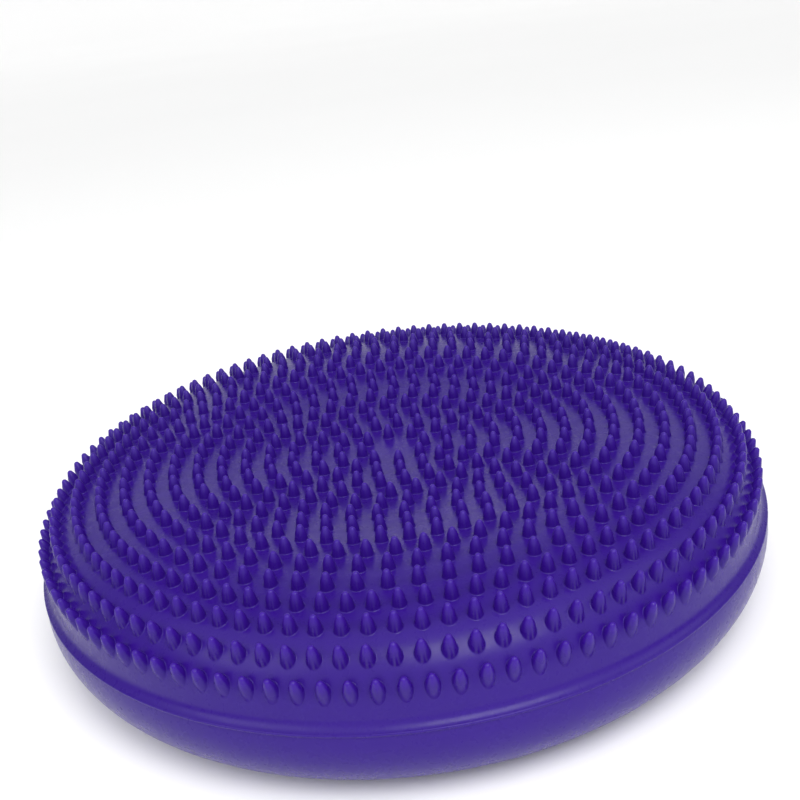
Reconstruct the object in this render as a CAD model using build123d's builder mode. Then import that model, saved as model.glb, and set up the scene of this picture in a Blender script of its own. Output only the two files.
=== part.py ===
from build123d import *
import os
from math import cos, degrees, pi, radians, sin, sqrt, tan

# Wobble cushion: an air-filled disc of soft PVC with a field of massage spikes on top.
# Millimetres. +Z is up and the origin is the middle of the face that rests on the floor.
# +Y points to the back, where the inflation valve is.

# ---- driving dimensions -------------------------------------------------------------
overall_diameter = 330.0
crest_height = 64.0            # top of the skin, without spikes
wall = 2.8                     # thickness of the PVC skin

belly_radius = 27.0            # section radius of the lower wall
seam_tilt = 13.0               # degrees from the widest line up to the parting line
bead_radius = 0.6              # flash bead left on the parting line

dish_slope = 7.0               # degrees, where the dish runs into the crest
crest_radius = 176.0           # section radius of the flat crest
crest_setback = 53.0           # from the overall radius in to the crest
shoulder_radius = 22.0         # section radius of the rounded edge
shoulder_start = 10.0          # degrees of slope where the rounded edge begins
shoulder_end = 80.0            # degrees of slope where the side wall begins
ledge_rise = 3.6               # concave ledge above the parting line

spike_diameter = 5.4
spike_height = 6.8
spike_tip_radius = 1.3
rim_spacing = 9.1              # from spike to spike along each of the outer rings
field_spacing = 11.0           # from spike to spike along each of the inner rings
rim_rings = 4                  # how many rings have the closer spacing
spike_blank_root = 6.0         # length of the blank below the skin before it is cut off
spike_sink = 0.8               # depth of a spike's base under the face of the skin
ring_pitch = 10.8              # from ring to ring along the section
first_ring_slope = 70.0        # degrees of slope where the outermost ring stands
lean_share = 0.28              # part of the skin's slope that a spike leans by
ring_turn = 23.0               # degrees each ring is turned from the one before
centre_clear_radius = 5.0      # no ring is smaller than this

pan_height = 3.0               # the floor pan ends here and the lower wall begins
seam_band = 4.0                # height of the stiff band at the parting line

groove_depth = 1.2             # grip grooves in the underside
groove_first_radius = 24.0
groove_pitch = 14.0
groove_edge_margin = 8.0       # flat land kept outside the last groove

valve_drop = 20.0              # degrees the valve points below level
valve_seat_diameter = 12.0
valve_flange_diameter = 18.0
valve_flange_height = 1.2
valve_bore = 7.0
valve_seat_depth = 12.0        # length of the seat inside the skin
valve_core_length = 5.0
plug_clearance = 0.2           # radial, between plug and bore
plug_length = 6.0
plug_head_diameter = 10.0
plug_head_height = 1.6
plug_tab_length = 9.0
plug_tab_width = 5.0
plug_tab_thickness = 1.4

# ---- sizes that follow ---------------------------------------------------------------
overall_radius = overall_diameter / 2
belly_centre = (overall_radius - belly_radius, belly_radius)

crest_centre = (overall_radius - crest_setback, crest_height - crest_radius)
dish_end = (
    crest_centre[0] - crest_radius * sin(radians(dish_slope)),
    crest_centre[1] + crest_radius * cos(radians(dish_slope)),
)
dish_radius = dish_end[0] / sin(radians(dish_slope))
dish_centre = (0.0, dish_end[1] + dish_radius * cos(radians(dish_slope)))
shoulder_reach = crest_radius - shoulder_radius
shoulder_centre = (
    crest_centre[0] + shoulder_reach * sin(radians(shoulder_start)),
    crest_centre[1] + shoulder_reach * cos(radians(shoulder_start)),
)
seam_radius = belly_centre[0] + belly_radius * cos(radians(seam_tilt))
seam_height = belly_centre[1] + belly_radius * sin(radians(seam_tilt)) + bead_radius
seam_bottom = seam_height - seam_band / 2
seam_top = seam_height + seam_band / 2

# The upper wall ends and the top shell begins halfway between the two outermost rings of spikes.
shell_edge_slope = first_ring_slope - degrees(ring_pitch / 2 / shoulder_radius)
shell_edge_height = shoulder_centre[1] + shoulder_radius * cos(radians(shell_edge_slope))


def upper_arcs(inset):
    """Dish, crest and shoulder of the section, moved in by inset."""
    CenterArc(dish_centre, dish_radius + inset, -90, dish_slope)
    CenterArc(crest_centre, crest_radius - inset, 90 - shoulder_start, dish_slope + shoulder_start)
    CenterArc(shoulder_centre, shoulder_radius - inset, 90 - shoulder_end, shoulder_end - shoulder_start)


def point_on_arc(centre, radius, angle):
    """The point of an arc at an angle in degrees from level."""
    return (centre[0] + radius * cos(radians(angle)), centre[1] + radius * sin(radians(angle)))


# ---- the whole cushion as one filled body: the skin and the valve flange come from it --
shoulder_low = point_on_arc(shoulder_centre, shoulder_radius, 90 - shoulder_end)
ledge_height = seam_height + bead_radius + ledge_rise
ledge_start = (
    shoulder_low[0] + (shoulder_low[1] - ledge_height) / tan(radians(shoulder_end)),
    ledge_height,
)
side_direction = (cos(radians(shoulder_end)), -sin(radians(shoulder_end)))
dish_bottom = dish_centre[1] - dish_radius

with BuildPart() as filled_body:
    with BuildSketch(Plane.XZ):
        with BuildLine():
            upper_arcs(0)
            Line(shoulder_low, ledge_start)
            TangentArc(ledge_start, (seam_radius, seam_height + bead_radius), tangent=side_direction)
            ThreePointArc(
                (seam_radius, seam_height + bead_radius),
                (seam_radius + bead_radius, seam_height),
                (seam_radius, seam_height - bead_radius),
            )
            CenterArc(belly_centre, belly_radius, seam_tilt, -90 - seam_tilt)
            Line((belly_centre[0], 0), (0, 0))
            Line((0, 0), (0, dish_bottom))
        make_face()
    revolve(axis=Axis.Z)

with BuildPart() as air_space:
    with BuildSketch(Plane.XZ):
        with BuildLine():
            upper_arcs(wall)
            Line(
                point_on_arc(shoulder_centre, shoulder_radius - wall, 90 - shoulder_end),
                point_on_arc(belly_centre, belly_radius - wall, 0),
            )
            CenterArc(belly_centre, belly_radius - wall, 0, -90)
            Line((belly_centre[0], wall), (0, wall))
            Line((0, wall), (0, dish_bottom - wall))
        make_face()
    revolve(axis=Axis.Z)

with BuildPart() as skin:
    add(filled_body)
    add(air_space, mode=Mode.SUBTRACT)

# ---- the valve's own plane: on the back of the lower wall, facing out along its axis --
valve_radius, valve_height = point_on_arc(belly_centre, belly_radius, -valve_drop)
valve_direction = (0, cos(radians(valve_drop)), -sin(radians(valve_drop)))
valve_plane = Plane(origin=(0, valve_radius, valve_height), x_dir=(1, 0, 0), z_dir=valve_direction)

# ---- floor pan: the face on the floor, with grip grooves -----------------------------
groove_count = int((belly_centre[0] - groove_edge_margin - groove_first_radius) / groove_pitch) + 1
groove_radii = [groove_first_radius + i * groove_pitch for i in range(groove_count)]

with BuildPart() as floor_pan:
    add(skin)
    split(bisect_by=Plane.XY.offset(pan_height), keep=Keep.BOTTOM)
    with BuildSketch(Plane.XZ):
        with Locations(*[(radius, 0) for radius in groove_radii]):
            Circle(groove_depth)
    revolve(axis=Axis.Z, mode=Mode.SUBTRACT)
floor_pan.part.label = "floor_pan"

# ---- lower wall: the rolling side, with the hole for the valve -----------------------
with BuildPart() as lower_wall:
    add(skin)
    split(bisect_by=Plane.XY.offset(pan_height), keep=Keep.TOP)
    split(bisect_by=Plane.XY.offset(seam_bottom), keep=Keep.BOTTOM)
    with BuildSketch(valve_plane):
        Circle(valve_seat_diameter / 2)
    extrude(amount=valve_seat_depth, both=True, mode=Mode.SUBTRACT)
lower_wall.part.label = "lower_wall"

# ---- parting seam: the stiff band where the two moulded halves meet ------------------
with BuildPart() as parting_seam:
    add(skin)
    split(bisect_by=Plane.XY.offset(seam_bottom), keep=Keep.TOP)
    split(bisect_by=Plane.XY.offset(seam_top), keep=Keep.BOTTOM)
parting_seam.part.label = "parting_seam"

# ---- upper wall: the side that rolls between the seam and the rounded edge ------------
with BuildPart() as upper_wall:
    add(skin)
    split(bisect_by=Plane.XY.offset(seam_top), keep=Keep.TOP)
    split(bisect_by=Plane.XY.offset(shell_edge_height), keep=Keep.BOTTOM)
upper_wall.part.label = "upper_wall"

# ---- top shell: rounded edge, crest and dish -----------------------------------------
with BuildPart() as top_shell:
    add(skin)
    split(bisect_by=Plane.XY.offset(shell_edge_height), keep=Keep.TOP)
top_shell.part.label = "top_shell"

# ---- spikes: one blank, set on the skin once for each ring, then copied round --------
base_radius = spike_diameter / 2
tip_centre_height = spike_height - spike_tip_radius
side_radius = (base_radius**2 + tip_centre_height**2 - spike_tip_radius**2) / (
    2 * (base_radius - spike_tip_radius)
)
side_centre_x = base_radius - side_radius
tip_reach = sqrt(side_centre_x**2 + tip_centre_height**2)
tip_tangent = (
    -side_centre_x / tip_reach * spike_tip_radius,
    tip_centre_height + tip_centre_height / tip_reach * spike_tip_radius,
)

with BuildPart() as spike_blank:
    with BuildSketch(Plane.XZ):
        with BuildLine():
            Line((0, -spike_blank_root), (base_radius, -spike_blank_root))
            Line((base_radius, -spike_blank_root), (base_radius, 0))
            TangentArc((base_radius, 0), tip_tangent, tangent=(0, 1))
            TangentArc((0, spike_height), tip_tangent, tangent=(1, 0))
            Line((0, spike_height), (0, -spike_blank_root))
        make_face()
    revolve(axis=Axis.Z)


def ring_places():
    """Radius, height and slope of each ring, measured inwards along the section."""
    shoulder_length = radians(first_ring_slope - shoulder_start) * shoulder_radius
    crest_length = radians(shoulder_start + dish_slope) * crest_radius
    dish_length = radians(dish_slope) * dish_radius
    places = []
    travel = 0.0
    while travel < shoulder_length + crest_length + dish_length:
        if travel < shoulder_length:
            slope = first_ring_slope - degrees(travel / shoulder_radius)
            radius, height = point_on_arc(shoulder_centre, shoulder_radius, 90 - slope)
        elif travel < shoulder_length + crest_length:
            slope = shoulder_start - degrees((travel - shoulder_length) / crest_radius)
            radius, height = point_on_arc(crest_centre, crest_radius, 90 - slope)
        else:
            rest = shoulder_length + crest_length + dish_length - travel
            slope = -degrees(rest / dish_radius)
            radius, height = point_on_arc(dish_centre, dish_radius, -90 - slope)
        if radius >= centre_clear_radius:
            places.append((radius, height, slope))
        travel += ring_pitch
    return places


spikes = []
for index, (radius, height, slope) in enumerate(ring_places()):
    spacing = rim_spacing if index < rim_rings else field_spacing
    count = round(2 * pi * radius / spacing)
    turn = ring_turn * index
    skin_normal = (sin(radians(slope)), 0, cos(radians(slope)))
    base_origin = (radius - spike_sink * skin_normal[0], 0, height - spike_sink * skin_normal[2])
    with BuildPart() as spike:
        with Locations(Location((radius, 0, height), (0, slope * lean_share, 0))):
            add(spike_blank)
        split(bisect_by=Plane(origin=base_origin, z_dir=skin_normal), keep=Keep.TOP)
    spikes.append((spike.part, count, turn))
    print("ring", index + 1, "radius", round(radius, 1), "height", round(height, 1), "spikes", count)

spike_rings = []
for spike_part, count, turn in spikes:
    with BuildPart() as ring:
        with PolarLocations(0, count, start_angle=turn):
            add(spike_part)
    spike_rings.append(list(ring.part.solids()))

# The outermost ring stands on the upper wall, and all the others stand on the top shell.
rim_spikes = Compound(label="rim_spikes", children=spike_rings[0])
shell_spikes = [spike_solid for ring_solids in spike_rings[1:] for spike_solid in ring_solids]
massage_spikes = Compound(label="massage_spikes", children=shell_spikes)
print("spikes on the wall", len(spike_rings[0]), "and on the shell", len(shell_spikes))

# ---- valve seat: flanged bush welded into the lower wall -----------------------------
with BuildPart() as valve_seat:
    with BuildSketch(valve_plane.offset(-wall)):
        Circle(valve_flange_diameter / 2)
    extrude(amount=wall + valve_flange_height)
    add(filled_body, mode=Mode.SUBTRACT)
    with BuildSketch(valve_plane.offset(-valve_seat_depth)):
        Circle(valve_seat_diameter / 2)
    extrude(amount=valve_seat_depth + valve_flange_height)
    with BuildSketch(valve_plane.offset(-valve_seat_depth)):
        Circle(valve_bore / 2)
    extrude(amount=valve_seat_depth + valve_flange_height, mode=Mode.SUBTRACT)
valve_seat.part.label = "valve_seat"

# ---- valve core: the rubber slug that seals round the pump needle --------------------
with BuildPart() as valve_core:
    with BuildSketch(valve_plane.offset(-valve_seat_depth)):
        Circle(valve_bore / 2)
    extrude(amount=valve_core_length)
valve_core.part.label = "valve_core"

# ---- valve plug: shank, head and pull tab --------------------------------------------
head_plane = valve_plane.offset(valve_flange_height)
with BuildPart() as valve_plug:
    with BuildSketch(head_plane):
        Circle(plug_head_diameter / 2)
    extrude(amount=plug_head_height)
    with BuildSketch(head_plane.offset(-plug_length)):
        Circle(valve_bore / 2 - plug_clearance)
    extrude(amount=plug_length)
    with BuildSketch(head_plane.offset(plug_head_height - plug_tab_thickness)):
        with Locations((plug_head_diameter / 2 + plug_tab_length / 2 - plug_tab_width / 2, 0)):
            SlotOverall(plug_tab_length + plug_tab_width, plug_tab_width)
    extrude(amount=plug_tab_thickness)
valve_plug.part.label = "valve_plug"

# ---- files ---------------------------------------------------------------------------
os.makedirs("parts", exist_ok=True)
export_step(floor_pan.part, "parts/floor_pan.step")
export_step(lower_wall.part, "parts/lower_wall.step")
export_step(parting_seam.part, "parts/parting_seam.step")
export_step(upper_wall.part, "parts/upper_wall.step")
export_step(top_shell.part, "parts/top_shell.step")
export_step(rim_spikes, "parts/rim_spikes.step")
export_step(massage_spikes, "parts/massage_spikes.step")
export_step(valve_seat.part, "parts/valve_seat.step")
export_step(valve_core.part, "parts/valve_core.step")
export_step(valve_plug.part, "parts/valve_plug.step")
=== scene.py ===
# %% [markdown]
# # A wobble cushion in moulded soft PVC
#
# The cushion is an air bladder: two thick PVC halves joined at a parting line. The upper half
# carries rings of blunt massage spikes, and the lower half rolls on the floor as the rider leans.
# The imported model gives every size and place; this file makes the surfaces that are seen.

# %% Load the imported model
import math

import bpy
import bmesh
import numpy as np
from mathutils import Matrix, Vector


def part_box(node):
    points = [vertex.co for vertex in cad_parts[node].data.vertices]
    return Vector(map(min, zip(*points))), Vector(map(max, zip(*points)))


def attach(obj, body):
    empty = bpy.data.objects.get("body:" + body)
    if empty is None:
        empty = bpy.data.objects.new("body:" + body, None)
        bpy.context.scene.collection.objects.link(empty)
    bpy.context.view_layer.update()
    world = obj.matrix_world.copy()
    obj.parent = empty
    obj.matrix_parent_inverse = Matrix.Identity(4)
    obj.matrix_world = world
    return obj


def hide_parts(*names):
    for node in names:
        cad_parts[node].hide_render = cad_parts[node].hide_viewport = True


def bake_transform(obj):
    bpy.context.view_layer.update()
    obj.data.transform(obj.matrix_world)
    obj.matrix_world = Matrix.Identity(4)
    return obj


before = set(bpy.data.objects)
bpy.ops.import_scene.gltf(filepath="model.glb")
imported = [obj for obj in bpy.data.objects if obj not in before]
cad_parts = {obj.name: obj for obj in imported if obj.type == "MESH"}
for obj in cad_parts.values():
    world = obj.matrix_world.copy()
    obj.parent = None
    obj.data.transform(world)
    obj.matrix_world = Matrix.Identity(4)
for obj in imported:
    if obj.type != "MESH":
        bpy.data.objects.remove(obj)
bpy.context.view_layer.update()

MM = 0.001

# %% [markdown]
# ## The section of the skin
#
# Both halves are figures of revolution, so one section in radius and height describes them.
# It is built from arcs that meet without a kink: dish, crest, shoulder and belly. A straight
# side wall and a small concave ledge lead down to the bead on the parting line. The arcs are
# kept as formulas, not as a traced outline, because the spikes need the skin's exact slope.

# %% Sizes of the section, in millimetres
seam_low, seam_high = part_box("parting_seam")

OVERALL_RADIUS = round(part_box("lower_wall")[1][0] / MM, 1)
CREST_HEIGHT = round(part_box("top_shell")[1][2] / MM, 1)
SEAM_HEIGHT = (seam_low[2] + seam_high[2]) / 2 / MM
BELLY_RADIUS = 27.0
BEAD_RADIUS = 0.6
DISH_SLOPE = math.radians(7)
CREST_RADIUS = 176.0
CREST_SETBACK = 53.0
SHOULDER_RADIUS = 22.0
SHOULDER_START = math.radians(10)
SHOULDER_END = math.radians(80)
LEDGE_RISE = 3.6
SEAM_TILT = math.asin((SEAM_HEIGHT - BEAD_RADIUS - BELLY_RADIUS) / BELLY_RADIUS)

belly_centre = np.array([OVERALL_RADIUS - BELLY_RADIUS, BELLY_RADIUS])
crest_centre = np.array([OVERALL_RADIUS - CREST_SETBACK, CREST_HEIGHT - CREST_RADIUS])
reach = CREST_RADIUS - SHOULDER_RADIUS
shoulder_centre = crest_centre + reach * np.array([math.sin(SHOULDER_START), math.cos(SHOULDER_START)])
dish_edge = crest_centre + CREST_RADIUS * np.array([-math.sin(DISH_SLOPE), math.cos(DISH_SLOPE)])
dish_radius = dish_edge[0] / math.sin(DISH_SLOPE)
dish_centre = np.array([0.0, dish_edge[1] + dish_radius * math.cos(DISH_SLOPE)])
wall_normal = np.array([math.sin(SHOULDER_END), math.cos(SHOULDER_END)])
wall_down = np.array([math.cos(SHOULDER_END), -math.sin(SHOULDER_END)])
wall_top = shoulder_centre + SHOULDER_RADIUS * wall_normal
SHOULDER_LOW = SEAM_HEIGHT + BEAD_RADIUS + LEDGE_RISE
print("overall radius", OVERALL_RADIUS, "crest", CREST_HEIGHT, "seam", round(SEAM_HEIGHT, 2))


# %% Helpers that walk the section
def on_arc(centre, radius, slope):
    """The point of a convex arc where the skin slopes down by this angle, and its outward normal."""
    normal = np.array([math.sin(slope), math.cos(slope)])
    return centre + radius * normal, normal


def upper_point(travel, first_slope):
    """Point and normal at a distance inwards along the section from where the skin has first_slope."""
    shoulder_length = (first_slope - SHOULDER_START) * SHOULDER_RADIUS
    crest_length = (SHOULDER_START + DISH_SLOPE) * CREST_RADIUS
    below_shoulder = (first_slope - SHOULDER_END) * SHOULDER_RADIUS - travel
    if below_shoulder > 0:
        return wall_top + below_shoulder * wall_down, wall_normal
    if travel < shoulder_length:
        return on_arc(shoulder_centre, SHOULDER_RADIUS, first_slope - travel / SHOULDER_RADIUS)
    if travel < shoulder_length + crest_length:
        slope = SHOULDER_START - (travel - shoulder_length) / CREST_RADIUS
        return on_arc(crest_centre, CREST_RADIUS, slope)
    angle = DISH_SLOPE - (travel - shoulder_length - crest_length) / dish_radius
    angle = max(angle, 0.0)
    normal = np.array([-math.sin(angle), math.cos(angle)])
    return dish_centre - dish_radius * normal, normal


def nearest_on_skin(radius, height):
    """The nearest point of the upper skin, and how far outside the skin the given point is."""
    point = np.array([radius, height])
    from_shoulder = point - shoulder_centre
    angle = math.atan2(from_shoulder[0], from_shoulder[1])
    if angle > SHOULDER_END:
        gap = float(np.dot(point - wall_top, wall_normal))
        return point - gap * wall_normal, gap
    if angle > SHOULDER_START:
        gap = float(np.linalg.norm(from_shoulder)) - SHOULDER_RADIUS
        return point - gap * from_shoulder / np.linalg.norm(from_shoulder), gap
    from_crest = point - crest_centre
    if math.atan2(from_crest[0], from_crest[1]) > -DISH_SLOPE:
        gap = float(np.linalg.norm(from_crest)) - CREST_RADIUS
        return point - gap * from_crest / np.linalg.norm(from_crest), gap
    to_dish = dish_centre - point
    gap = dish_radius - float(np.linalg.norm(to_dish))
    return point - gap * to_dish / np.linalg.norm(to_dish), gap


LIFT = 0.01       # how far a point is raised to find which way the skin faces
ON_SKIN = 0.02    # a point nearer than this is on the skin


def skin_normal(x, y, z):
    """The outward normal of the upper skin at a point on it, or a zero vector away from the skin."""
    radius = math.hypot(x, y)
    if z < SHOULDER_LOW or radius < LIFT or abs(nearest_on_skin(radius, z)[1]) > ON_SKIN:
        return (0.0, 0.0, 0.0)
    foot, gap = nearest_on_skin(radius, z + LIFT)
    out, up = (radius - foot[0]) / gap, (z + LIFT - foot[1]) / gap
    return (out * x / radius, out * y / radius, up)


# %% [markdown]
# ## Where the spikes stand
#
# The rings are spaced evenly along the curved section, not in plan, so they crowd together
# towards the rim when seen from above. Each ring takes as many spikes as fit at its spacing:
# the four outer rings are packed closer than the field inside them.

# %% Rings of spikes
SPIKE_DIAMETER = 5.4
SPIKE_HEIGHT = 6.8
SPIKE_TIP_RADIUS = 1.3
RIM_SPACING = 9.1
FIELD_SPACING = 11.0
RIM_RINGS = 4
RING_PITCH = 10.8
FIRST_RING_SLOPE = math.radians(70)
LEAN_SHARE = 0.28
RING_TURN = math.radians(23)
CENTRE_CLEAR_RADIUS = 5.0


def ring_table():
    """Travel, point, normal, spike count and turn of each ring, from the rim inwards."""
    rows = []
    travel = 0.0
    while True:
        point, normal = upper_point(travel, FIRST_RING_SLOPE)
        if point[0] < CENTRE_CLEAR_RADIUS:
            break
        rows.append([travel, point, normal, 0, 0.0])
        travel += RING_PITCH
    for index, row in enumerate(rows):
        spacing = RIM_SPACING if index < RIM_RINGS else FIELD_SPACING
        row[3] = round(2 * math.pi * row[1][0] / spacing)
        row[4] = RING_TURN * index
    return rows


rings = ring_table()
print("rings", len(rings), "spikes", sum(row[3] for row in rings), "counts", [row[3] for row in rings])

# %% [markdown]
# ## One spike, grown out of the skin
#
# A spike is moulded in one with the skin, so it has a small fillet round its foot and no joint
# line. It could be a separate cone pushed into the surface, but then the foot would show as a
# hard crease. Here each spike is the middle of its own cell of skin. Sixteen lines run
# from the edge of the cell to the spike's foot, up a fillet and over the rounded tip. On the
# steep rim the spike leans less than the skin slopes, so where each line leaves the skin is
# found by halving.

# %% The profile of a spike
DIRECTIONS = 16
FILLET = 0.5
BASE_RADIUS = SPIKE_DIAMETER / 2
TIP_CENTRE = SPIKE_HEIGHT - SPIKE_TIP_RADIUS
SIDE_RADIUS = BASE_RADIUS**2 + TIP_CENTRE**2 - SPIKE_TIP_RADIUS**2
SIDE_RADIUS /= 2 * (BASE_RADIUS - SPIKE_TIP_RADIUS)
SIDE_CENTRE = BASE_RADIUS - SIDE_RADIUS
TANGENT_HEIGHT = TIP_CENTRE + SPIKE_TIP_RADIUS * TIP_CENTRE / math.hypot(SIDE_CENTRE, TIP_CENTRE)
SEARCH_DEPTH = 6.0           # the search for the skin starts this far down the spike
HALVINGS = 26
FILLET_SHARES = (0.35, 0.7)  # places of two loops along the fillet's curve
SIDE_SHARE = 0.55            # place of one loop between the fillet and the round tip
TIP_RISES = (45, 70)         # degrees up the round tip of the last two loops


def spike_radius(height):
    """Radius of the spike at a height along its axis: a cylinder, a long arc and a round tip."""
    if height <= 0:
        return BASE_RADIUS
    if height < TANGENT_HEIGHT:
        return SIDE_CENTRE + math.sqrt(SIDE_RADIUS**2 - height**2)
    return math.sqrt(max(SPIKE_TIP_RADIUS**2 - (height - TIP_CENTRE) ** 2, 0.0))


def spike_cell(ring, outer_reach, inner_reach):
    """Loops of points, edge of the cell first, for the spike of a ring that stands on +X."""
    travel, point, normal, count, turn = ring
    slope = math.atan2(normal[0], normal[1])
    lean = slope * LEAN_SHARE
    base = np.array([point[0], 0.0, point[1]])
    axis = np.array([math.sin(lean), 0.0, math.cos(lean)])
    outward = np.array([math.cos(lean), 0.0, -math.sin(lean)])
    sideways = np.array([0.0, 1.0, 0.0])
    half_angle = math.pi / count
    loops = [[] for _ in range(9)]
    for step in range(DIRECTIONS):
        angle = 2 * math.pi * step / DIRECTIONS
        direction = outward * math.cos(angle) + sideways * math.sin(angle)

        def on_spike(height):
            return base + axis * height + direction * spike_radius(height)

        low, high = -SEARCH_DEPTH, SPIKE_HEIGHT
        for _ in range(HALVINGS):
            middle = (low + high) / 2
            place = on_spike(middle)
            gap = nearest_on_skin(math.hypot(place[0], place[1]), place[2])[1]
            low, high = (middle, high) if gap < 0 else (low, middle)
        leave = on_spike(high)
        lift = min(FILLET, (TANGENT_HEIGHT - high) * 0.5)
        start = on_spike(high + lift)
        spread = leave + direction * FILLET
        azimuth = math.atan2(spread[1], spread[0])
        foot_2d = nearest_on_skin(math.hypot(spread[0], spread[1]), spread[2])[0]
        foot = np.array([foot_2d[0] * math.cos(azimuth), foot_2d[0] * math.sin(azimuth), foot_2d[1]])

        quarter = (step + 2) // 4
        offset = (step - 4 * quarter) / 2
        side = [(1, offset), (-offset, 1), (-1, -offset), (offset, -1)][quarter % 4]
        run = travel - side[0] * (outer_reach if side[0] > 0 else inner_reach)
        edge_2d = upper_point(run, FIRST_RING_SLOPE)[0]
        edge_angle = side[1] * half_angle
        edge = np.array([edge_2d[0] * math.cos(edge_angle), edge_2d[0] * math.sin(edge_angle), edge_2d[1]])
        loops[0].append(edge)
        loops[1].append(foot)
        for row, share in enumerate(FILLET_SHARES, start=2):
            loops[row].append((1 - share) ** 2 * foot + 2 * share * (1 - share) * leave + share**2 * start)
        loops[4].append(start)
        loops[5].append(on_spike(high + lift + (TANGENT_HEIGHT - high - lift) * SIDE_SHARE))
        loops[6].append(on_spike(TANGENT_HEIGHT))
        for row, rise in enumerate(TIP_RISES, start=7):
            loops[row].append(on_spike(TIP_CENTRE + SPIKE_TIP_RADIUS * math.sin(math.radians(rise))))
    tip = base + axis * SPIKE_HEIGHT
    return np.array(loops), tip


# %% [markdown]
# ## Rings of cells, sewn together
#
# Copies of one cell turned about the middle fill a ring, and their edges meet exactly. Two
# rings rarely have the same number of spikes, so their edges don't share points. A narrow
# strip of triangles sews each pair together, always stepping to whichever side lags behind
# in angle. The points all lie on the skin, so the strip doesn't show, and the whole upper
# half is one unbroken surface.

# %% Build the surface of a band of rings
STRIP = 0.6
STEEP_REACH = 8.0
WELD = 0.004 * MM
BEHIND_HOLE = -30.0    # faces further back along a hole's axis than this are kept


def turned(points, angle):
    """Points turned about +Z."""
    cosine, sine = math.cos(angle), math.sin(angle)
    matrix = np.array([[cosine, sine, 0], [-sine, cosine, 0], [0, 0, 1]])
    return points @ matrix


def ring_reach(index):
    """How far a ring's cells reach outwards and inwards along the section."""
    half = (RING_PITCH - STRIP) / 2
    return (STEEP_REACH if index == 0 else half), half


def edge_circle(index, inner):
    """The points round the outer or inner edge of a ring's cells, sorted by angle."""
    travel, _, _, count, turn = rings[index]
    outer_reach, inner_reach = ring_reach(index)
    run = travel + inner_reach if inner else travel - outer_reach
    radius, height = upper_point(run, FIRST_RING_SLOPE)[0]
    angles = (turn + np.arange(4 * count) * 2 * math.pi / (4 * count)) % (2 * math.pi)
    angles = np.sort(angles)
    return np.stack([radius * np.cos(angles), radius * np.sin(angles), np.full(len(angles), height)], 1)


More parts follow.
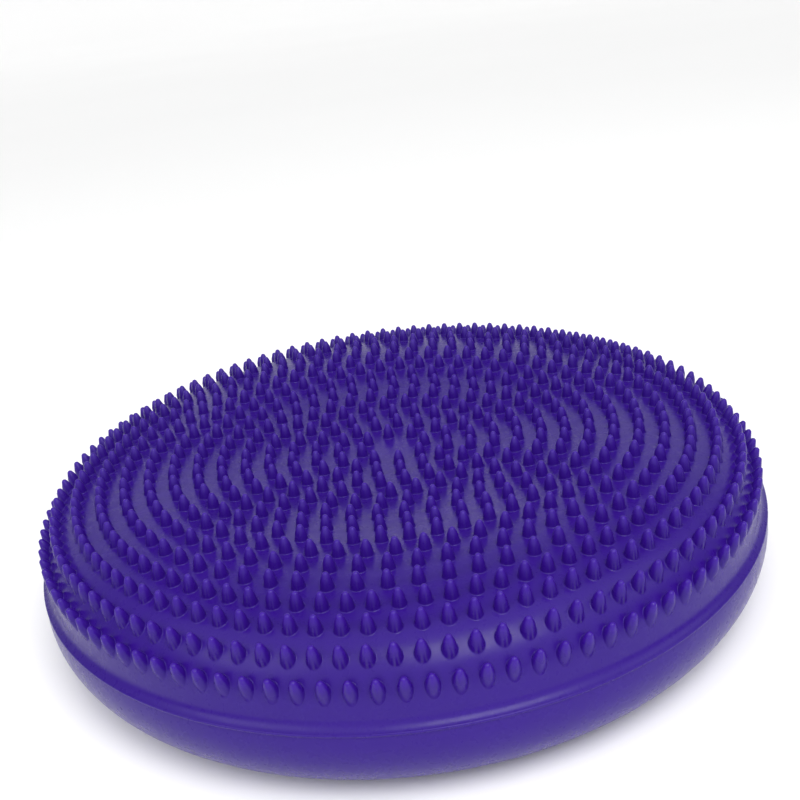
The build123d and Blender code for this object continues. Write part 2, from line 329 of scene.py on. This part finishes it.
class Surface:
    """Collects points and faces, in millimetres, with a tag from 0 at the skin to 1 at a spike's tip."""

    def __init__(self):
        self.points, self.faces, self.tags = [], [], []

    def add(self, points, faces, tags):
        start = len(self.points)
        self.points.extend(map(tuple, points))
        self.faces.extend([tuple(start + i for i in face) for face in faces])
        self.tags.extend(tags)

    def loops(self, loops, tags=None):
        """Quads between closed loops of points."""
        size = len(loops[0])
        faces = []
        for row in range(len(loops) - 1):
            for i in range(size):
                j = (i + 1) % size
                faces.append((row * size + i, row * size + j, (row + 1) * size + j, (row + 1) * size + i))
        tags = tags if tags is not None else [0.0] * len(loops)
        self.add(np.concatenate(loops), faces, [tag for tag in tags for _ in range(size)])

    def sew(self, outer, inner):
        """Triangles between two circles of points, each sorted by angle."""
        turn_out = np.arctan2(outer[:, 1], outer[:, 0]) % (2 * math.pi)
        turn_in = np.arctan2(inner[:, 1], inner[:, 0]) % (2 * math.pi)
        outer, turn_out = outer[np.argsort(turn_out)], np.sort(turn_out)
        inner, turn_in = inner[np.argsort(turn_in)], np.sort(turn_in)
        n, m = len(outer), len(inner)
        i = j = 0
        faces = []
        while i < n or j < m:
            next_out = turn_out[(i + 1) % n] + 2 * math.pi * ((i + 1) // n)
            next_in = turn_in[(j + 1) % m] + 2 * math.pi * ((j + 1) // m)
            if j >= m or (i < n and next_out <= next_in):
                faces.append((i % n, (i + 1) % n, n + j % m))
                i += 1
            else:
                faces.append((i % n, n + (j + 1) % m, n + j % m))
                j += 1
        self.add(np.concatenate([outer, inner]), faces, [0.0] * (n + m))

    def ring(self, index):
        """All the spikes of a ring with their cells of skin."""
        loops, tip = spike_cell(rings[index], *ring_reach(index))
        size = DIRECTIONS
        points = np.concatenate([loops.reshape(-1, 3), tip[None]])
        faces = []
        for row in range(len(loops) - 1):
            for i in range(size):
                j = (i + 1) % size
                faces.append((row * size + i, row * size + j, (row + 1) * size + j, (row + 1) * size + i))
        last = (len(loops) - 1) * size
        faces += [(last + i, last + (i + 1) % size, len(points) - 1) for i in range(size)]
        base = loops[1].mean(axis=0)
        rise = np.linalg.norm(points - base, axis=1) / SPIKE_HEIGHT
        rise[:2 * size] = 0.0
        count, turn = rings[index][3], rings[index][4]
        for copy in range(count):
            self.add(turned(points, turn + copy * 2 * math.pi / count), faces, rise.clip(0, 1).tolist())

    def cut_hole(self, point, axis, radius):
        """Takes out the faces whose middle is within a radius of a line that leaves the point."""
        points = np.array(self.points)
        kept = []
        for face in self.faces:
            away = points[list(face)].mean(axis=0) - point
            along = float(away @ axis)
            if along < BEHIND_HOLE or np.linalg.norm(away - along * axis) > radius:
                kept.append(face)
        print("faces cut out", len(self.faces) - len(kept))
        self.faces = kept

    def piece(self, name):
        """A welded, smooth-shaded object in metres with its faces pointing outwards."""
        mesh = bpy.data.meshes.new(name)
        mesh.from_pydata((np.array(self.points) * MM).tolist(), [], self.faces)
        tag = mesh.attributes.new("rise", "FLOAT", "POINT")
        tag.data.foreach_set("value", np.array(self.tags, np.float32))
        work = bmesh.new()
        work.from_mesh(mesh)
        bmesh.ops.remove_doubles(work, verts=work.verts, dist=WELD)
        bmesh.ops.dissolve_degenerate(work, edges=work.edges, dist=WELD)
        bmesh.ops.recalc_face_normals(work, faces=work.faces)
        open_edges = sum(1 for edge in work.edges if edge.is_boundary)
        bad_edges = sum(1 for edge in work.edges if len(edge.link_faces) > 2 or not edge.link_faces)
        work.to_mesh(mesh)
        work.free()
        mesh.polygons.foreach_set("use_smooth", [True] * len(mesh.polygons))
        # The section gives the skin's normal exactly, so the long faces round a spike don't show.
        # A zero vector leaves a point with its own smooth normal.
        normals = [skin_normal(*(vertex.co / MM)) for vertex in mesh.vertices]
        mesh.normals_split_custom_set_from_vertices(normals)
        piece = bpy.data.objects.new(name, mesh)
        bpy.context.scene.collection.objects.link(piece)
        triangles = sum(len(face.vertices) - 2 for face in mesh.polygons)
        print(name, "triangles", triangles, "open edges", open_edges, "bad edges", bad_edges)
        return piece


# %% [markdown]
# ## The upper half
#
# The upper half is one moulding. It is made as two meshes that share an edge between two
# rings, because one mesh would be heavier than most tools like. Both are baked in place and
# ride no body.

# %% Upper half, from the seam to the middle
SPLIT_AFTER = 4
WALL_COLUMNS = 4 * rings[0][3]
SEAM_TOP = seam_high[2] / MM
SEAM_BOTTOM = seam_low[2] / MM


def circle(radius, height, columns=WALL_COLUMNS):
    """A circle of points about the middle."""
    angles = np.arange(columns) * 2 * math.pi / columns
    return np.stack([radius * np.cos(angles), radius * np.sin(angles), np.full(columns, height)], 1)


def ledge_section(steps):
    """The concave ledge from the side wall to the bead, top first."""
    ledge_height = SEAM_HEIGHT + BEAD_RADIUS + LEDGE_RISE
    start = wall_top + wall_down * ((wall_top[1] - ledge_height) / -wall_down[1])
    seam_radius = belly_centre[0] + BELLY_RADIUS * math.cos(SEAM_TILT)
    end = np.array([seam_radius, SEAM_HEIGHT + BEAD_RADIUS])
    chord = end - start
    side = np.array([wall_down[1], -wall_down[0]])
    bend = np.dot(chord, chord) / (2 * np.dot(chord, side))
    centre = start + side * bend
    first = math.atan2(*(start - centre)[::-1])
    last = math.atan2(*(end - centre)[::-1])
    swing = (last - first + math.pi) % (2 * math.pi) - math.pi
    angles = first + swing * np.linspace(0, 1, steps)
    return centre + abs(bend) * np.stack([np.cos(angles), np.sin(angles)], 1)


ledge = ledge_section(40)
upper_ledge = [point for point in ledge if point[1] > SEAM_TOP]
share = (upper_ledge[-1][1] - SEAM_TOP) / (upper_ledge[-1][1] - ledge[len(upper_ledge)][1])
seam_edge = upper_ledge[-1] + share * (ledge[len(upper_ledge)] - upper_ledge[-1])

rim = Surface()
for index in range(SPLIT_AFTER):
    rim.ring(index)
    if index:
        rim.sew(edge_circle(index, False), edge_circle(index - 1, True))
outer_run = rings[0][0] - STEEP_REACH
edge_point = upper_point(outer_run, FIRST_RING_SLOPE)[0]
wall_rows = [edge_point + (ledge[0] - edge_point) * share for share in np.linspace(0, 1, 4)]
rows = wall_rows + upper_ledge[1::3] + [seam_edge]
rim.loops([circle(*row) for row in rows])
rim_skin = rim.piece("rim_skin")

field = Surface()
for index in range(SPLIT_AFTER, len(rings)):
    field.ring(index)
    field.sew(edge_circle(index, False), edge_circle(index - 1, True))
centre_run = rings[-1][0] + ring_reach(1)[1]
centre_columns = 4 * rings[-1][3]
centre_turn = rings[-1][4]
centre_rows = []
first_radius = upper_point(centre_run, FIRST_RING_SLOPE)[0][0]
for share in (1.0, 0.7, 0.4, 0.15):
    radius = first_radius * share
    height = nearest_on_skin(radius, CREST_HEIGHT)[0][1]
    centre_rows.append(turned(circle(radius, height, centre_columns), centre_turn))
field.loops(centre_rows)
middle = nearest_on_skin(0.0, CREST_HEIGHT)[0][1]
field.add(
    np.concatenate([centre_rows[-1], [[0.0, 0.0, middle]]]),
    [(i, (i + 1) % centre_columns, centre_columns) for i in range(centre_columns)],
    [0.0] * (centre_columns + 1),
)
field_skin = field.piece("field_skin")

# %% [markdown]
# ## The seam and the lower half
#
# The two halves are joined at the parting line, which leaves a fine raised bead all the way
# round. The band there is the stiffest part of the wall, so it stays rigid between the two
# rolling walls. The belly below it is a plain arc, and the underside has grip grooves.

# %% Seam band
def belly_point(angle):
    """A point of the belly at an angle above level."""
    return belly_centre + BELLY_RADIUS * np.array([math.cos(angle), math.sin(angle)])


bead_centre = np.array([belly_centre[0] + BELLY_RADIUS * math.cos(SEAM_TILT), SEAM_HEIGHT])
bead_angles = np.radians(np.linspace(90, -90, 9))
bead = [bead_centre + BEAD_RADIUS * np.array([math.cos(a), math.sin(a)]) for a in bead_angles]
lower_edge_angle = math.asin((SEAM_BOTTOM - belly_centre[1]) / BELLY_RADIUS)
below_bead = [belly_point(a) for a in np.linspace(SEAM_TILT, lower_edge_angle, 4)]
band = Surface()
band.loops([circle(*row) for row in [seam_edge] + list(ledge[len(upper_ledge)::3]) + bead + below_bead[1:]])
seam_band = band.piece("seam_band")

# %% Lower half, with the grip grooves
GROOVE_DEPTH = 1.2
GROOVE_FIRST = 24.0
GROOVE_PITCH = 14.0
GROOVE_MARGIN = 8.0
VALVE_DROP = math.radians(20)
VALVE_HOLE_RADIUS = 7.0
valve_radius, valve_height = belly_point(-VALVE_DROP)
VALVE_POINT = np.array([0.0, valve_radius, valve_height])
VALVE_AXIS = np.array([0.0, math.cos(VALVE_DROP), -math.sin(VALVE_DROP)])
groove_total = int((belly_centre[0] - GROOVE_MARGIN - GROOVE_FIRST) / GROOVE_PITCH) + 1
lower_rows = [belly_point(a) for a in np.linspace(lower_edge_angle, -math.pi / 2, 28)]
for number in reversed(range(groove_total)):
    radius = GROOVE_FIRST + number * GROOVE_PITCH
    for angle in np.radians(np.linspace(0, 180, 9)):
        across, up = GROOVE_DEPTH * math.cos(angle), GROOVE_DEPTH * math.sin(angle)
        lower_rows.append(np.array([radius + across, up]))
lower_rows += [np.array([radius, 0.0]) for radius in (12.0, 4.0)]
lower = Surface()
lower.loops([circle(*row) for row in lower_rows])
lower.cut_hole(VALVE_POINT, VALVE_AXIS, VALVE_HOLE_RADIUS)
last_circle = circle(*lower_rows[-1])
lower.add(
    np.concatenate([last_circle, [[0.0, 0.0, 0.0]]]),
    [(i, (i + 1) % WALL_COLUMNS, WALL_COLUMNS) for i in range(WALL_COLUMNS)],
    [0.0] * (WALL_COLUMNS + 1),
)
lower_skin = lower.piece("lower_skin")

# %% [markdown]
# ## The valve
#
# A push-in plug closes the inflation valve at the back. The seat is a flanged bush welded into
# the wall, the core is a rubber slug that closes behind the pump's needle, and the plug has a
# tab for a fingertip. All three are turned shapes, so each is a profile swept round the valve's
# own axis. Soft mouldings have no sharp edges, so every corner of a profile is rounded.

# %% A turned piece on the valve's axis
VALVE_COLUMNS = 48
valve_side = np.array([1.0, 0.0, 0.0])
valve_up = np.cross(VALVE_AXIS, valve_side)


def on_valve(points):
    """Points given across, up and along the valve's axis, in the part's frame."""
    return VALVE_POINT + points @ np.array([valve_side, valve_up, VALVE_AXIS])


def rounded(profile, radius, steps=4):
    """A profile of (radius, height) points with its inner corners rounded."""
    rows = [np.array(profile[0], float)]
    for before, corner, after in zip(profile, profile[1:], profile[2:]):
        before, corner, after = (np.array(point, float) for point in (before, corner, after))
        first = corner + (before - corner) / np.linalg.norm(before - corner) * radius
        last = corner + (after - corner) / np.linalg.norm(after - corner) * radius
        for share in np.linspace(0, 1, steps + 1):
            rows.append((1 - share) ** 2 * first + 2 * share * (1 - share) * corner + share**2 * last)
    rows.append(np.array(profile[-1], float))
    return rows


def turn_profile(surface, rows):
    """Sweeps a profile round the valve's axis."""
    surface.loops([on_valve(circle(*row, VALVE_COLUMNS)) for row in rows])


# %% Seat, core and plug
FLANGE_TOP, FLANGE_ROOT, SEAT_ROOT = 1.2, -2.6, -12.0
BORE_RADIUS, BUSH_RADIUS, FLANGE_RADIUS = 3.5, 6.0, 9.0
HEAD_TOP, HEAD_RADIUS = 2.8, 5.0
seat = Surface()
seat_profile = [
    (BORE_RADIUS, SEAT_ROOT), (BORE_RADIUS, FLANGE_TOP), (FLANGE_RADIUS, FLANGE_TOP),
    (FLANGE_RADIUS, FLANGE_ROOT), (BUSH_RADIUS, FLANGE_ROOT), (BUSH_RADIUS, SEAT_ROOT),
    (BORE_RADIUS, SEAT_ROOT),
]
turn_profile(seat, rounded(seat_profile, 0.45))
valve_seat = seat.piece("valve_seat_visual")

core = Surface()
core_profile = [(0.02, SEAT_ROOT), (3.45, SEAT_ROOT), (3.45, -7), (1.2, -7), (0.35, -9), (0.02, -9)]
turn_profile(core, rounded(core_profile, 0.25))
valve_core = core.piece("valve_core_visual")

plug = Surface()
plug_profile = [
    (0.02, -4.8), (3.3, -4.8), (3.3, 1.3), (HEAD_RADIUS, 1.3), (HEAD_RADIUS, HEAD_TOP),
    (1.5, HEAD_TOP), (0.02, HEAD_TOP),
]
turn_profile(plug, rounded(plug_profile, 0.35))
TAB_START, TAB_END, TAB_WIDTH = 2.5, 11.5, 5.0
tab_loops = []
for inset, height in ((0.4, 1.4), (0.12, 1.5), (0.0, 1.8), (0.0, 2.45), (0.12, 2.72), (0.4, 2.82)):
    half = TAB_WIDTH / 2 - inset
    bends = np.radians(np.linspace(-90, 90, 13))
    far = np.stack([TAB_END + half * np.cos(bends), half * np.sin(bends), np.full(13, height)], 1)
    near = np.stack([TAB_START - half * np.cos(bends), -half * np.sin(bends), np.full(13, height)], 1)
    tab_loops.append(on_valve(np.concatenate([far, near])))
plug.loops(tab_loops)
plug.add(tab_loops[-1], [tuple(range(26))], [0.0] * 26)
plug.add(tab_loops[0], [tuple(reversed(range(26)))], [0.0] * 26)
valve_plug = plug.piece("valve_plug_visual")

# %% [markdown]
# ## Moulded soft PVC
#
# The skin is plasticised PVC cast in a polished mould: deep violet all the way through, with
# a satin gloss. Pigmented PVC has an IOR near 1.53. A soft plastic never comes out of the mould
# perfectly flat, so its highlight breaks up in a shallow ripple about 2 mm across (the real one
# is finer still), and the gloss varies in specks of a few millimetres. The colour varies in
# slow patches, because plasticiser pools in the thick places. The spike tips are painted a shade
# paler than the skin: painted light, for the tips lit above the shaded gaps. The specular level
# is below the plain value for that IOR, which keeps the white reflection weak and the violet deep.

# %% Colours and a function that adds nodes
def linear(hex_colour):
    """An sRGB hex colour as linear red, green, blue and alpha."""
    parts = [int(hex_colour[i:i + 2], 16) / 255 for i in (1, 3, 5)]
    return tuple(c / 12.92 if c <= 0.04045 else ((c + 0.055) / 1.055) ** 2.4 for c in parts) + (1.0,)


def add_node(tree, kind, inputs=None, **settings):
    """Adds a node with its settings; each input gets a value or a link from another node's output."""
    node = tree.nodes.new(kind)
    for name, value in settings.items():
        setattr(node, name, value)
    for name, value in (inputs or {}).items():
        if isinstance(value, bpy.types.NodeSocket):
            tree.links.new(value, node.inputs[name])
        else:
            node.inputs[name].default_value = value
    return node


def per_metre(size_mm):
    """The scale of a pattern whose features are this size."""
    return 1000.0 / size_mm


def new_material(name):
    """An empty material and its node tree."""
    material = bpy.data.materials.new(name)
    material.use_nodes = True
    material.node_tree.nodes.clear()
    return material, material.node_tree


# %% The PVC of the skin and the spikes
def moulded_pvc(name, deep, body, painted_tip_light, roughness, ripple):
    """Soft PVC from a polished mould: two shades of its colour, a painted-light shade for the spike tips,
    its roughness and its ripple in mm.
    """
    material, tree = new_material(name)
    place = add_node(tree, "ShaderNodeTexCoord").outputs["Object"]
    patches = add_node(tree, "ShaderNodeTexNoise", {"Vector": place, "Scale": per_metre(60), "Detail": 3.0})
    specks = add_node(tree, "ShaderNodeTexNoise", {"Vector": place, "Scale": per_metre(3.5), "Detail": 2.0})
    shade = add_node(
        tree, "ShaderNodeMix", {"Factor": patches.outputs["Fac"], "A": linear(deep), "B": linear(body)},
        data_type="RGBA",
    )
    rise = add_node(tree, "ShaderNodeAttribute", attribute_name="rise")
    # Painted light: the spike tips are painted paler, standing in for the light they catch above the shaded
    # gaps.
    tip_light_share = add_node(
        tree, "ShaderNodeMapRange",
        {"Value": rise.outputs["Fac"], "From Min": 0.45, "From Max": 1.0, "To Min": 0.0, "To Max": 0.55},
        interpolation_type="SMOOTHSTEP",
    )
    colour = add_node(
        tree, "ShaderNodeMix",
        {"Factor": tip_light_share.outputs["Result"], "A": shade.outputs["Result"], "B": linear(painted_tip_light)},
        data_type="RGBA",
    )
    gloss = add_node(
        tree, "ShaderNodeMapRange",
        {"Value": specks.outputs["Fac"], "From Min": 0.3, "From Max": 0.7,
         "To Min": roughness - 0.05, "To Max": roughness + 0.05},
    )
    peel = add_node(tree, "ShaderNodeTexNoise", {"Vector": place, "Scale": per_metre(2.0), "Detail": 2.0})
    bump = add_node(
        tree, "ShaderNodeBump",
        {"Height": peel.outputs["Fac"], "Strength": 0.35, "Distance": ripple * MM},
    )
    skin = add_node(
        tree, "ShaderNodeBsdfPrincipled",
        {"Base Color": colour.outputs["Result"], "Roughness": gloss.outputs["Result"], "IOR": 1.53,
         "Specular IOR Level": 0.20,
         "Subsurface Weight": 0.06, "Subsurface Radius": (0.6, 0.3, 1.0), "Subsurface Scale": 0.002,
         "Normal": bump.outputs["Normal"]},
    )
    add_node(tree, "ShaderNodeOutputMaterial", {"Surface": skin.outputs["BSDF"]})
    return material


# The third colour is painted light on the spike tips; for the valve it equals the body colour.
violet_pvc = moulded_pvc("violet_moulded_pvc", "#280A70", "#2D0C7A", "#3A1590", 0.29, 0.02)
valve_pvc = moulded_pvc("violet_valve_pvc", "#26096A", "#2B0B74", "#2B0B74", 0.31, 0.02)
print("materials", [material.name for material in bpy.data.materials])

# %% [markdown]
# ## The rubber of the valve core
#
# The core is moulded black rubber. It is matt, because it has no polished mould to copy, and
# a dust of talc keeps it from sticking to the plug, which lifts the black to a dark grey.

# %% Black rubber
core_rubber, tree = new_material("talced_black_rubber")
place = add_node(tree, "ShaderNodeTexCoord").outputs["Object"]
talc = add_node(tree, "ShaderNodeTexNoise", {"Vector": place, "Scale": per_metre(0.8), "Detail": 3.0})
grey = add_node(
    tree, "ShaderNodeMix",
    {"Factor": talc.outputs["Fac"], "A": linear("#141416"), "B": linear("#2C2C30")}, data_type="RGBA",
)
grain = add_node(
    tree, "ShaderNodeBump", {"Height": talc.outputs["Fac"], "Strength": 0.4, "Distance": 0.05 * MM},
)
rubber = add_node(
    tree, "ShaderNodeBsdfPrincipled",
    {"Base Color": grey.outputs["Result"], "Roughness": 0.75, "IOR": 1.52,
     "Normal": grain.outputs["Normal"]},
)
add_node(tree, "ShaderNodeOutputMaterial", {"Surface": rubber.outputs["BSDF"]})

# %% [markdown]
# ## How the pieces move
#
# The bladder rocks by rolling its walls: the lower wall bends between the floor and the seam,
# and the upper wall between the seam and the top. The soft pieces are baked in place and ride
# no body. The band at the seam is stiff and rides whole, and so does the valve on its base.

# %% Ride and finish each piece
for piece, nodes in (
    (rim_skin, ["upper_wall", "rim_spikes"]),
    (field_skin, ["top_shell", "massage_spikes"]),
):
    piece.data.materials.append(violet_pvc)
    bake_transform(piece)
    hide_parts(*nodes)

lower_skin.data.materials.append(violet_pvc)
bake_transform(lower_skin)
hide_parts("floor_pan", "lower_wall")

seam_band.data.materials.append(violet_pvc)
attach(seam_band, "waist")
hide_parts("parting_seam")

for piece, node, body, finish, slot in (
    (valve_seat, "valve_seat", "base", valve_pvc, "pvc_valve"),
    (valve_core, "valve_core", "base", core_rubber, "valve_rubber"),
    (valve_plug, "valve_plug", "plug", valve_pvc, "pvc_valve"),
):
    piece.data.materials.append(finish)
    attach(piece, body)
    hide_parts(node)

# %% [markdown]
# ## Floor and light
#
# The floor is a plain pale sheet. Behind the cushion it bends up into a wall, as studio paper
# does, so that no horizon shows from the front. Two soft panels stand left and right in a dim
# white room, and a third hangs above the front. They lay broad, soft highlights on the rounded
# edge, and the third one also catches each spike there. A brighter room would lay more
# white reflection over the whole violet skin. The plain "Standard" view shows the hex colours as
# they are, without a film-like roll-off.

# %% Floor
pale_floor, tree = new_material("pale_paint")
place = add_node(tree, "ShaderNodeTexCoord").outputs["Object"]
mottle = add_node(tree, "ShaderNodeTexNoise", {"Vector": place, "Scale": per_metre(900), "Detail": 2.0})
paint = add_node(
    tree, "ShaderNodeMix",
    {"Factor": mottle.outputs["Fac"], "A": linear("#F6F6F6"), "B": linear("#FAFAFA")}, data_type="RGBA",
)
surface = add_node(
    tree, "ShaderNodeBsdfPrincipled", {"Base Color": paint.outputs["Result"], "Roughness": 0.8},
)
add_node(tree, "ShaderNodeOutputMaterial", {"Surface": surface.outputs["BSDF"]})
floor_mesh = bpy.data.meshes.new("floor")
FLOOR_REACH = 12.0
WALL_DISTANCE = 6.0
BEND_RADIUS = 2.0
BELOW_FEET = -0.0004
bend_angles = [math.radians(angle) for angle in range(0, 91, 10)]
profile = [(-FLOOR_REACH, BELOW_FEET)]
for angle in bend_angles:
    back = WALL_DISTANCE + BEND_RADIUS * math.sin(angle)
    profile.append((back, BELOW_FEET + BEND_RADIUS * (1 - math.cos(angle))))
profile.append((WALL_DISTANCE + BEND_RADIUS, WALL_DISTANCE))
corners = [(x, y, z) for y, z in profile for x in (-FLOOR_REACH, FLOOR_REACH)]
strips = [(2 * i, 2 * i + 1, 2 * i + 3, 2 * i + 2) for i in range(len(profile) - 1)]
floor_mesh.from_pydata(corners, [], strips)
floor_mesh.polygons.foreach_set("use_smooth", [True] * len(strips))
floor_mesh.materials.append(pale_floor)
floor = bpy.data.objects.new("floor", floor_mesh)
bpy.context.scene.collection.objects.link(floor)

# %% Light
world = bpy.data.worlds.new("white_room")
bpy.context.scene.world = world
world.use_nodes = True
world.node_tree.nodes["Background"].inputs["Color"].default_value = linear("#FFFFFF")
world.node_tree.nodes["Background"].inputs["Strength"].default_value = 0.40


def soft_panel(name, place, aim, size, power):
    """A square soft light at a place, facing a point."""
    panel = bpy.data.lights.new(name, "AREA")
    panel.size = size
    panel.energy = power
    lamp = bpy.data.objects.new(name, panel)
    lamp.location = place
    lamp.rotation_euler = (Vector(aim) - Vector(place)).to_track_quat("-Z", "Y").to_euler()
    bpy.context.scene.collection.objects.link(lamp)
    return lamp


soft_panel("front_panel", (0.22, -0.62, 0.90), (0.0, -0.10, 0.04), 0.55, 5.5)
soft_panel("left_panel", (-0.80, -0.60, 0.88), (0.0, 0.0, 0.03), 0.7, 2.5)
soft_panel("right_panel", (1.02, -0.10, 0.82), (0.0, 0.0, 0.03), 0.7, 1.2)
even_light = bpy.data.lights.new("ceiling_light", "SUN")
even_light.energy = 1.85
even_light.angle = math.radians(120)
ceiling = bpy.data.objects.new("ceiling_light", even_light)
ceiling.rotation_euler = (math.radians(30), 0.0, 0.0)
bpy.context.scene.collection.objects.link(ceiling)
bpy.context.scene.view_settings.view_transform = "Standard"

# %% [markdown]
# ## Camera
#
# The camera stands low in front of the cushion, close enough for the front rim to look
# larger than the back one, and it is tilted sideways a little. It is placed by its elevation,
# its roll and its distance, so that each can be changed alone.

# %% Camera
CAMERA_ELEVATION = math.radians(22.99)
CAMERA_ROLL = math.radians(-7.32)
CAMERA_DISTANCE = 0.5006
AIM_RIGHT = -0.0039
AIM_ABOVE = 0.0755
camera_data = bpy.data.cameras.new("camera")
camera_data.lens = 46.1
camera_data.sensor_width = 36.0
camera = bpy.data.objects.new("camera", camera_data)
turn_matrix = Matrix.Rotation(math.pi / 2 - CAMERA_ELEVATION, 4, "X") @ Matrix.Rotation(CAMERA_ROLL, 4, "Z")
offset = turn_matrix @ Vector((AIM_RIGHT, AIM_ABOVE, CAMERA_DISTANCE))
camera.matrix_world = Matrix.Translation(offset) @ turn_matrix
bpy.context.scene.collection.objects.link(camera)
bpy.context.scene.camera = camera
print("camera at", [round(value, 3) for value in offset])
